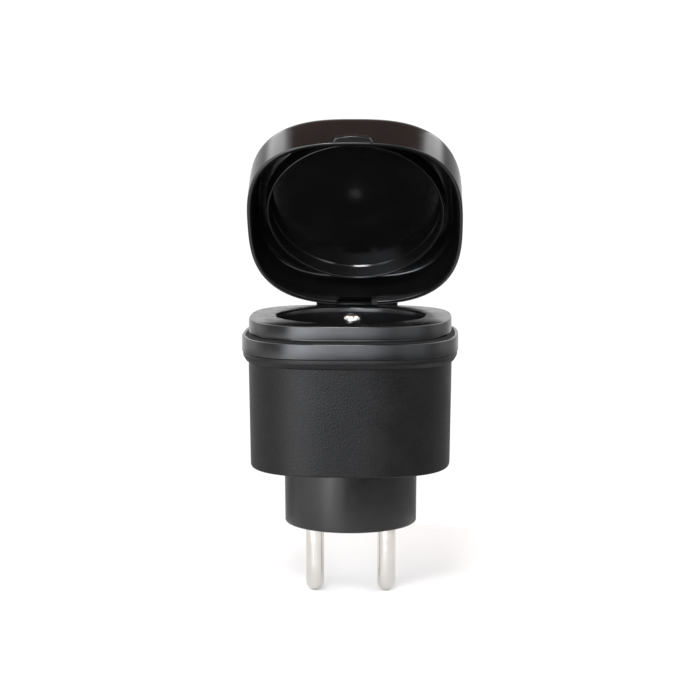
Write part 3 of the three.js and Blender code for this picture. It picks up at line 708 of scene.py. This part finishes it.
def socket_cover():
    n = SQUARE
    roof = RIM_TOP - WALL
    mouth = SLEEVE_OUT + GAP
    moulding = turned("socket_cover_fine", rounded([
        (COLLAR_HALF, COLLAR_BASE - SEAM_CLOSE, n, 0.24), (COLLAR_HALF, COLLAR_TOP, n, 0.5),
        (SEAL_OUT + 0.05, COLLAR_TOP, n, 0.1), (SEAL_OUT + 0.05, SEAL_BASE - 0.05, n, 0),
        (RIM_HALF - UNDERCUT, SEAL_BASE - 0.05, n, 0), (RIM_HALF - UNDERCUT, COLLAR_TOP + 0.75, n, 0),
        (RIM_HALF, COLLAR_TOP + 0.9, n, 0.14), (RIM_HALF, RIM_TOP, n, 0.5),
        (WELL_RADIUS + 0.1, RIM_TOP, ROUND, 0.6), (WELL_RADIUS, RIM_TOP - LIP_DEPTH, ROUND, 0),
        (mouth, RIM_TOP - LIP_DEPTH, ROUND, 0), (mouth, roof, ROUND, 0), (RIM_HALF - WALL, roof, n, 0),
        (SPIGOT_HALF - 1.5, COLLAR_BASE, n, 0), (SPIGOT_HALF - 1.5, SPIGOT_BASE, n, 0.15),
        (SPIGOT_HALF, SPIGOT_BASE, n, 0.3), (SPIGOT_HALF, COLLAR_BASE, n, 0.1),
    ], 5))
    wavy(moulding, (COLLAR_BASE - SEAM_CLOSE,), 0.07)
    posts = at_posts("post", POST_RADIUS, BOARD_Z + 0.4, COLLAR_BASE + 0.5)
    pilots = at_posts("pilot", SCREW_RADIUS + GAP, BOARD_Z, SCREW_TIP + 1)
    room = rod("room", mouth, BOARD_Z, COLLAR_BASE + 1, sides=SIDES)
    foot = prism("knuckle", [
        (COLLAR_HALF - 0.8, COLLAR_BASE + 0.4), (HINGE_Y + 1.9, COLLAR_BASE + 0.4),
        (HINGE_Y + 2.25, HINGE_Z - 4.25), *barrel_points(-22, 139), (COLLAR_HALF + 1, COLLAR_TOP),
        (COLLAR_HALF - 0.8, COLLAR_TOP - 0.2),
    ], -KNUCKLE_HALF, KNUCKLE_HALF)
    soften(foot, 0.3)
    join(moulding, foot, *posts)
    cut(moulding, room, *pilots, hinge_bore())
    present(moulding, "satin_black", "case", "socket_cover")


def well_sleeve():
    """Wall of the well, with a lip that carries the insert and a flange under the cover's roof."""
    lip = WELL_RADIUS - 1.5
    lip_top = INSERT_BASE - GAP
    flange_top = RIM_TOP - WALL - GAP
    top = RIM_TOP - LIP_DEPTH - 0.03
    sleeve = turned("well_sleeve_fine", rounded([
        (lip, lip_top - 1.5, ROUND, 0.2), (SLEEVE_OUT, lip_top - 1.5, ROUND, 0.2),
        (SLEEVE_OUT, flange_top - 1, ROUND, 0), (SLEEVE_OUT + 2, flange_top - 1, ROUND, 0.2),
        (SLEEVE_OUT + 2, flange_top, ROUND, 0.2), (SLEEVE_OUT, flange_top, ROUND, 0),
        (SLEEVE_OUT, top, ROUND, 0), (WELL_RADIUS, top, ROUND, 0),
        (WELL_RADIUS, lip_top, ROUND, 0), (lip, lip_top, ROUND, 0.2),
    ]))
    present(sleeve, "satin_black", "case", "well_sleeve")


def socket_insert():
    """Face of the well: a shallow step round its edge, dished leads into the live holes."""
    r = WELL_RADIUS - GAP
    step = WELL_FLOOR - 0.5
    disc = turned("socket_insert_fine", rounded([
        (0, INSERT_BASE, ROUND, 0), (r, INSERT_BASE, ROUND, 0.2), (r, step, ROUND, 0.15),
        (r - 1.4, step, ROUND, 0.1), (r - 1.6, WELL_FLOOR, ROUND, 0.15), (0, WELL_FLOOR, ROUND, 0),
    ]))
    tools = [rod("earth_way", PIN_RADIUS + GAP, INSERT_BASE - 1, WELL_FLOOR + 1, 0, EARTH_Y)]
    for x in (-PIN_X, PIN_X):
        tools.append(turned("live_way", circular([
            (0, INSERT_BASE - 1), (HOLE_RADIUS, INSERT_BASE - 1), (HOLE_RADIUS, WELL_FLOOR - 0.7),
            (HOLE_RADIUS + 1.0, WELL_FLOOR + 0.3), (0, WELL_FLOOR + 0.3),
        ]), SMALL_SIDES, x))
    cut(disc, *tools)
    soften(disc, 0.12, 40.0, 2)
    present(disc, "satin_black", "case", "socket_insert")


def lid_seal():
    """Rubber ring at the foot of the rim, its inner edge tucked into the rim's undercut."""
    n = SQUARE
    inside = RIM_HALF - UNDERCUT + 0.02
    seal = turned("lid_seal_fine", rounded([
        (inside, SEAL_BASE, n, 0), (SEAL_OUT, SEAL_BASE, n, 0), (SEAL_OUT, SEAL_TOP - 0.08, n, 0.12),
        (RIM_HALF - 0.2, SEAL_TOP, n, 0.1), (inside, COLLAR_TOP + 0.5, n, 0.1),
    ]))
    present(seal, "seal_rubber", "case", "lid_seal")


def cover_gasket():
    n = SQUARE
    top = COLLAR_BASE - SEAM_CLOSE - 0.04
    gasket = turned("cover_gasket_fine", rounded([
        (GASKET_IN, GASKET_BASE, n, 0.2), (GASKET_OUT, GASKET_BASE, n, 0.2), (GASKET_OUT, top, n, 0.2),
        (GASKET_IN, top, n, 0.2),
    ]))
    present(gasket, "seal_rubber", "case", "cover_gasket")


def hinge_pin():
    """Rolled steel pin with chamfered ends."""
    low, high = HINGE_PIN_LOW.x, HINGE_PIN_HIGH.x
    r = HINGE_PIN_RADIUS
    pin = turned("hinge_pin_fine", circular([
        (0, low), (r - 0.3, low), (r, low + 0.35), (r, high - 0.35), (r - 0.3, high), (0, high),
    ]), SMALL_SIDES)
    turn_to(pin, "X", (0, HINGE_Y, HINGE_Z))
    present(pin, "steel", "case", "hinge_pin")


# ---- lid ----

def hinge_top(root):
    """Rear and upper edge of the arms and of the hood between them, back to the lid's wall."""
    rear = HINGE_Y + KNUCKLE_RADIUS
    return [(rear, HOOD_BASE), (rear, HOOD_TOP - 0.8), (HINGE_Y + 2, HOOD_TOP), (root, HOOD_TOP)]


def hinge_arm(x0, x1):
    root = LID_HALF - 1.05
    arm = prism("arm", [(root, LID_MOUTH + 0.4), *barrel_points(240, 400), *hinge_top(root)], x0, x1)
    return soften(arm, 0.3)


def hinge_hood():
    root = LID_HALF - 0.8
    return prism("hood", [(root, HOOD_BASE), *hinge_top(root)], -ARM_START - 1, ARM_START + 1)


def finger_tab():
    """Tab with a bowed front, its underside cut back towards the tip for a fingertip."""
    root = -LID_HALF + 0.9
    steps = 14
    front = []
    for k in range(steps + 1):
        across = -1 + 2 * k / steps
        bow = TAB_REACH * (1 - 0.42 * across ** 2) * (1 - across ** 12) ** 0.5
        front.append((across * TAB_HALF, -LID_HALF + 0.12 - bow))
    low, high = [], []
    for x, y in [(TAB_HALF, root), (-TAB_HALF, root), *front]:
        out = max(0.0, (-LID_HALF - y) / TAB_REACH)
        low.append((x, y, LID_MOUTH + 0.05 + TAB_SLOPE * out))
        high.append((x, y, LID_MOUTH + TAB_THICK - 0.12 * out))
    return soften(slab("tab", low, high), 0.16, 40.0)


def lid_shell():
    n = LID_SQUARE
    ceiling = LID_MOUTH + LID_INSIDE
    top = LID_MOUTH + LID_DEPTH
    groove_in = RING_RADIUS - RING_THICK / 2 - GAP
    groove_out = RING_RADIUS + RING_THICK / 2 + GAP
    groove_top = ceiling + RING_FOOT + GAP
    inner = LID_HALF - LID_WALL
    profile = rounded([
        (0, ceiling, ROUND, 0), (groove_in, ceiling, ROUND, 0.12), (groove_in, groove_top, ROUND, 0),
        (groove_out, groove_top, ROUND, 0), (groove_out, ceiling, ROUND, 0.12),
    ])
    hollow = quarter((inner - 0.35, ceiling - 2.3), (inner - 2.6, ceiling), n, 2.2)
    profile += hollow[::-1]
    profile += rounded([
        (inner - 0.35, ceiling - 2.4, n, 0), (inner, LID_MOUTH, n, 0.3), (LID_HALF, LID_MOUTH, n, 0.4),
        (LID_HALF - 0.15, top - 3.7, n, 0),
    ])
    profile += quarter((LID_HALF - 0.15, top - 3.6), (LID_HALF - 5.2, top - 0.12), n, 2.4, 12)
    profile += [(LID_HALF - 14, top - 0.04, n), (0, top, ROUND)]
    shell = turned("lid_shell_fine", profile)
    wall = (LID_HALF - LID_WALL - 0.5, LID_HALF + 0.2)
    notch = box("notch", -ARM_START, ARM_START, *wall, LID_MOUTH - 1, LID_MOUTH + NOTCH_DEPTH)
    arms = hinge_arm(-HINGE_HALF, -ARM_START), hinge_arm(ARM_START, HINGE_HALF)
    join(shell, finger_tab(), *arms, hinge_hood())
    cut(shell, notch, hinge_bore())
    shell.data.transform(LID_POSE)
    present(shell, "lid_black", "lid", "lid_shell")


def lid_ring():
    inside = RING_RADIUS - RING_THICK / 2
    outside = RING_RADIUS + RING_THICK / 2
    edge = LID_MOUTH + RING_SET_BACK
    foot = LID_MOUTH + LID_INSIDE + RING_FOOT
    root = LID_MOUTH + LID_INSIDE
    ring = turned("lid_ring_fine", rounded([
        (inside + 0.12, edge, ROUND, 0.26), (outside - 0.36, edge, ROUND, 0.26),
        (outside - 0.05, root - 0.1, ROUND, 0.1), (outside + GAP, root + 0.05, ROUND, 0),
        (outside, foot, ROUND, 0), (inside, foot, ROUND, 0), (inside - GAP, root + 0.05, ROUND, 0),
        (inside - 0.02, root - 0.42, ROUND, 0.35),
    ], 5))
    ring.data.transform(LID_POSE)
    present(ring, "lid_black", "lid", "lid_ring")


# ---- rear controls ----

def push_button():
    """Dished rubber cap with a raised dot, its flange and stem behind the wall."""
    rear = BUTTON_HIGH.y
    front = BUTTON_LOW.y
    r = BUTTON_RADIUS
    inner, outer = BUTTON_FLANGE
    profile = rounded([
        (0, front, ROUND, 0), (1.3, front, ROUND, 0.2), (1.3, inner, ROUND, 0.1),
        (r + 1.3, inner, ROUND, 0.15), (r + 1.3, outer, ROUND, 0.15), (r, outer, ROUND, 0),
        (r, rear - 0.3, ROUND, 0.3), (r - 0.75, rear, ROUND, 0.2), (r - 1.3, rear - 0.25, ROUND, 0.3),
        (0.9, rear - 0.45, ROUND, 0.1), (0.7, rear - 0.15, ROUND, 0.15), (0, rear - 0.1, ROUND, 0),
    ])
    button = turned("push_button_fine", profile, SMALL_SIDES)
    turn_to(button, "Y", (0, 0, BUTTON_Z))
    present(button, "seal_rubber", "button", "push_button")


def keep_frame_nodes():
    """The inner pieces keep their frame shape and take the finish of their slot."""
    kept = {
        "brass": (
            "earth_tube", "earth_strap", "feed_bar_left", "feed_bar_right",
            "contact_left", "contact_right",
        ),
        "insulator_black": ("shutter_plate", "push_switch"),
        "steel": ("shutter_spring",),
        "board_green": ("main_board", "wifi_module"),
        "relay_blue": ("power_relay",),
        "ceramic": ("input_fuse",),
        "capacitor_sleeve": ("filter_capacitor",),
        "varistor_blue": ("surge_varistor",),
        "ferrite": ("supply_inductor",),
        "shield_tin": ("wifi_shield",),
        "shutter_grey": ("safety_shutter",),
        "lamp_white": ("status_led",),
        "window_clear": ("light_guide",),
    }
    for slot, nodes in kept.items():
        for name in nodes:
            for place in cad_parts[name].material_slots:
                place.link = "OBJECT"
                place.material = LOOK[slot]


# ---- studio ----

CAMERA_DISTANCE = 535.7
CAMERA_AZIMUTH = math.radians(1.926)
CAMERA_ELEVATION = math.radians(12.119)
AIM_AZIMUTH = math.radians(1.947)
AIM_ELEVATION = math.radians(7.295)
LENS = 103.3
SENSOR = 36.0
PAPER_REACH = 84.0
PAPER_TOP = PIN_TIP - 0.02
PAPER_THICK = 0.04
KEY_LIGHT = {
    "azimuth": -8, "elevation": 41, "distance": 1.0, "width": 0.26, "height": 0.22, "radiance": 34.0,
}
AIM_HEIGHT = 0.03             # metres above the contact face that the key light points at
BACKGROUND = 1.05             # strength of the white that the camera sees

# Relative brightness by azimuth from the front, in degrees, positive to the right.
WALL_LIGHT = (
    (-180, 0.42), (-140, 0.46), (-108, 0.72), (-80, 0.36), (-62, 0.28), (-40, 0.35), (10, 0.26),
    (28, 0.16), (46, 0.20), (60, 0.36), (76, 0.32), (104, 0.56), (140, 0.30), (180, 0.42),
)
LOW_LIGHT = (
    (-180, 0.18), (-130, 0.18), (-104, 0.42), (-80, 0.70), (-62, 1.00), (-37, 2.10), (-20, 1.15),
    (-4, 0.16), (20, 0.02), (50, 0.15), (100, 0.22), (150, 0.14), (180, 0.18),
)
SOFTBOX_ACROSS = (
    (-50, 0.0), (-36, 0.82), (-24, 1.0), (-9, 0.75), (3, 0.42), (13, 0.20), (22, 0.12), (36, 0.16),
    (54, 0.13), (72, 0.04), (84, 0.0),
)
# By height, as the sine of the elevation.
HORIZON = ((-0.182, 0.0), (-0.115, 1.0))     # from the low light to the wall light
SOFTBOX_UP = ((-0.26, 0.0), (-0.11, 1.0), (0.34, 1.0), (0.42, 0.0))
STRIP_UP = ((0.62, 0.0), (0.78, 1.0))
PANEL_UP = ((0.30, 0.0), (0.50, 1.0))
# By degrees off the vertical, to either side.
STRIP_ACROSS = ((30, 1.0), (35, 0.0))
PANEL_ACROSS = ((34, 0.0), (41, 1.0), (52, 1.0), (66, 0.0))

PANEL_RADIANCE = 4.2
WALL_RADIANCE = 2.1
BOX_RADIANCE = 8.5
BOX_TINT = (0.94, 0.98, 1.06)
OVERHEAD_COLOUR = (0.40, 0.27, 0.225)


def direction(azimuth, elevation):
    """Unit vector towards an azimuth from the front, positive to the right, and an elevation."""
    level = math.cos(elevation)
    return Vector((level * math.sin(azimuth), -level * math.cos(azimuth), math.sin(elevation)))


def camera():
    data = bpy.data.cameras.new("camera")
    data.lens = LENS
    data.sensor_width = SENSOR
    eye = bpy.data.objects.new("camera", data)
    bpy.context.collection.objects.link(eye)
    eye.location = direction(CAMERA_AZIMUTH, CAMERA_ELEVATION) * CAMERA_DISTANCE * MM
    eye.rotation_euler = direction(AIM_AZIMUTH, AIM_ELEVATION).to_track_quat("Z", "Y").to_euler()
    bpy.context.scene.camera = eye


def softbox(name, azimuth, elevation, distance, width, height, radiance):
    """Even area light that faces the object from a direction in degrees, with its sizes in metres."""
    data = bpy.data.lights.new(name, "AREA")
    data.shape = "RECTANGLE"
    data.size = width
    data.size_y = height
    data.energy = radiance * math.pi * width * height
    lamp = bpy.data.objects.new(name, data)
    bpy.context.collection.objects.link(lamp)
    out = direction(math.radians(azimuth), math.radians(elevation))
    lamp.location = out * distance + Vector((0, 0, AIM_HEIGHT))
    lamp.rotation_euler = out.to_track_quat("Z", "Y").to_euler()
    lamp.visible_camera = False


class Sky(Nodes):
    """Node maths for the brightness of the studio by direction."""

    def __init__(self, name):
        world = bpy.data.worlds.new(name)
        bpy.context.scene.world = world
        world.use_nodes = True
        self.tree = world.node_tree
        self.tree.nodes.clear()
        split = self.add("ShaderNodeSeparateXYZ")
        self.link(self.add("ShaderNodeTexCoord").outputs["Generated"], split.inputs["Vector"])
        self.x, self.y, self.z = (split.outputs[axis] for axis in "XYZ")

    def levels(self, source, low, high, stops):
        """Brightness by a value between low and high, from (value, brightness) stops joined smoothly."""
        greys = [((value - low) / (high - low), (level, level, level)) for value, level in stops]
        return self.colours(self.span(source, 0.0, 1.0, low, high), greys, "EASE")

    def by_azimuth(self, stops):
        """Brightness by degrees to the right of the front."""
        front = self.maths("MULTIPLY", self.y, -1.0)
        azimuth = self.maths("MULTIPLY", self.maths("ARCTAN2", self.x, front), 180 / math.pi)
        return self.levels(azimuth, -180, 180, stops)

    def by_lean(self, stops):
        """Brightness by degrees off the vertical, to either side."""
        lean = self.maths("ARCTAN2", self.maths("ABSOLUTE", self.x), self.z)
        return self.levels(self.maths("MULTIPLY", lean, 180 / math.pi), 0, 180, stops)

    def by_height(self, stops):
        """Brightness by the sine of the elevation."""
        return self.levels(self.z, -1, 1, stops)


def studio_world():
    """White room: a dim strip overhead, a panel high on either side, a tall softbox at the front left."""
    sky = Sky("studio")
    walls = sky.mix(sky.by_height(HORIZON), sky.by_azimuth(LOW_LIGHT), sky.by_azimuth(WALL_LIGHT))
    walls = sky.mix(1.0, walls, [WALL_RADIANCE] * 3, "MULTIPLY")
    front = sky.maths("MULTIPLY", sky.by_azimuth(SOFTBOX_ACROSS), sky.by_height(SOFTBOX_UP))
    room = sky.mix(front, walls, [BOX_RADIANCE * part for part in BOX_TINT])
    panel = sky.maths("MULTIPLY", sky.by_lean(PANEL_ACROSS), sky.by_height(PANEL_UP))
    room = sky.mix(panel, room, [PANEL_RADIANCE] * 3)
    strip = sky.maths("MULTIPLY", sky.by_lean(STRIP_ACROSS), sky.by_height(STRIP_UP))
    lit = sky.add("ShaderNodeBackground")
    sky.link(sky.mix(strip, room, OVERHEAD_COLOUR), lit.inputs["Color"])
    white = sky.add("ShaderNodeBackground")
    white.inputs["Color"].default_value = (1, 1, 1, 1)
    white.inputs["Strength"].default_value = BACKGROUND
    choose = sky.add("ShaderNodeMixShader")
    sky.link(sky.add("ShaderNodeLightPath").outputs["Is Camera Ray"], choose.inputs["Fac"])
    sky.link(lit.outputs["Background"], choose.inputs[1])
    sky.link(white.outputs["Background"], choose.inputs[2])
    sky.link(choose.outputs["Shader"], sky.add("ShaderNodeOutputWorld").inputs["Surface"])


def studio_floor():
    """Disc of white paper just below the pins."""
    floor = rod("floor", PAPER_REACH, PAPER_TOP - PAPER_THICK, PAPER_TOP, sides=96)
    smooth(floor, 30.0)
    paint = Paint("floor_paper", roughness=0.9)
    tones = [(0.3, (0.69, 0.69, 0.69)), (0.7, (0.71, 0.71, 0.71))]
    paint.set("Base Color", paint.colours(paint.noise(30.0, 2), tones))
    floor.data.materials.append(paint.material)


def studio():
    camera()
    studio_world()
    softbox("key", **KEY_LIGHT)
    studio_floor()
    bpy.context.scene.view_settings.view_transform = "Standard"


# ---- scene ----

housing()
case_screws()
plug_neck()
mains_pins()
earth_pin()
socket_cover()
well_sleeve()
socket_insert()
hinge_pin()
lid_shell()
lid_ring()
push_button()
lid_seal()
cover_gasket()
keep_frame_nodes()
studio()
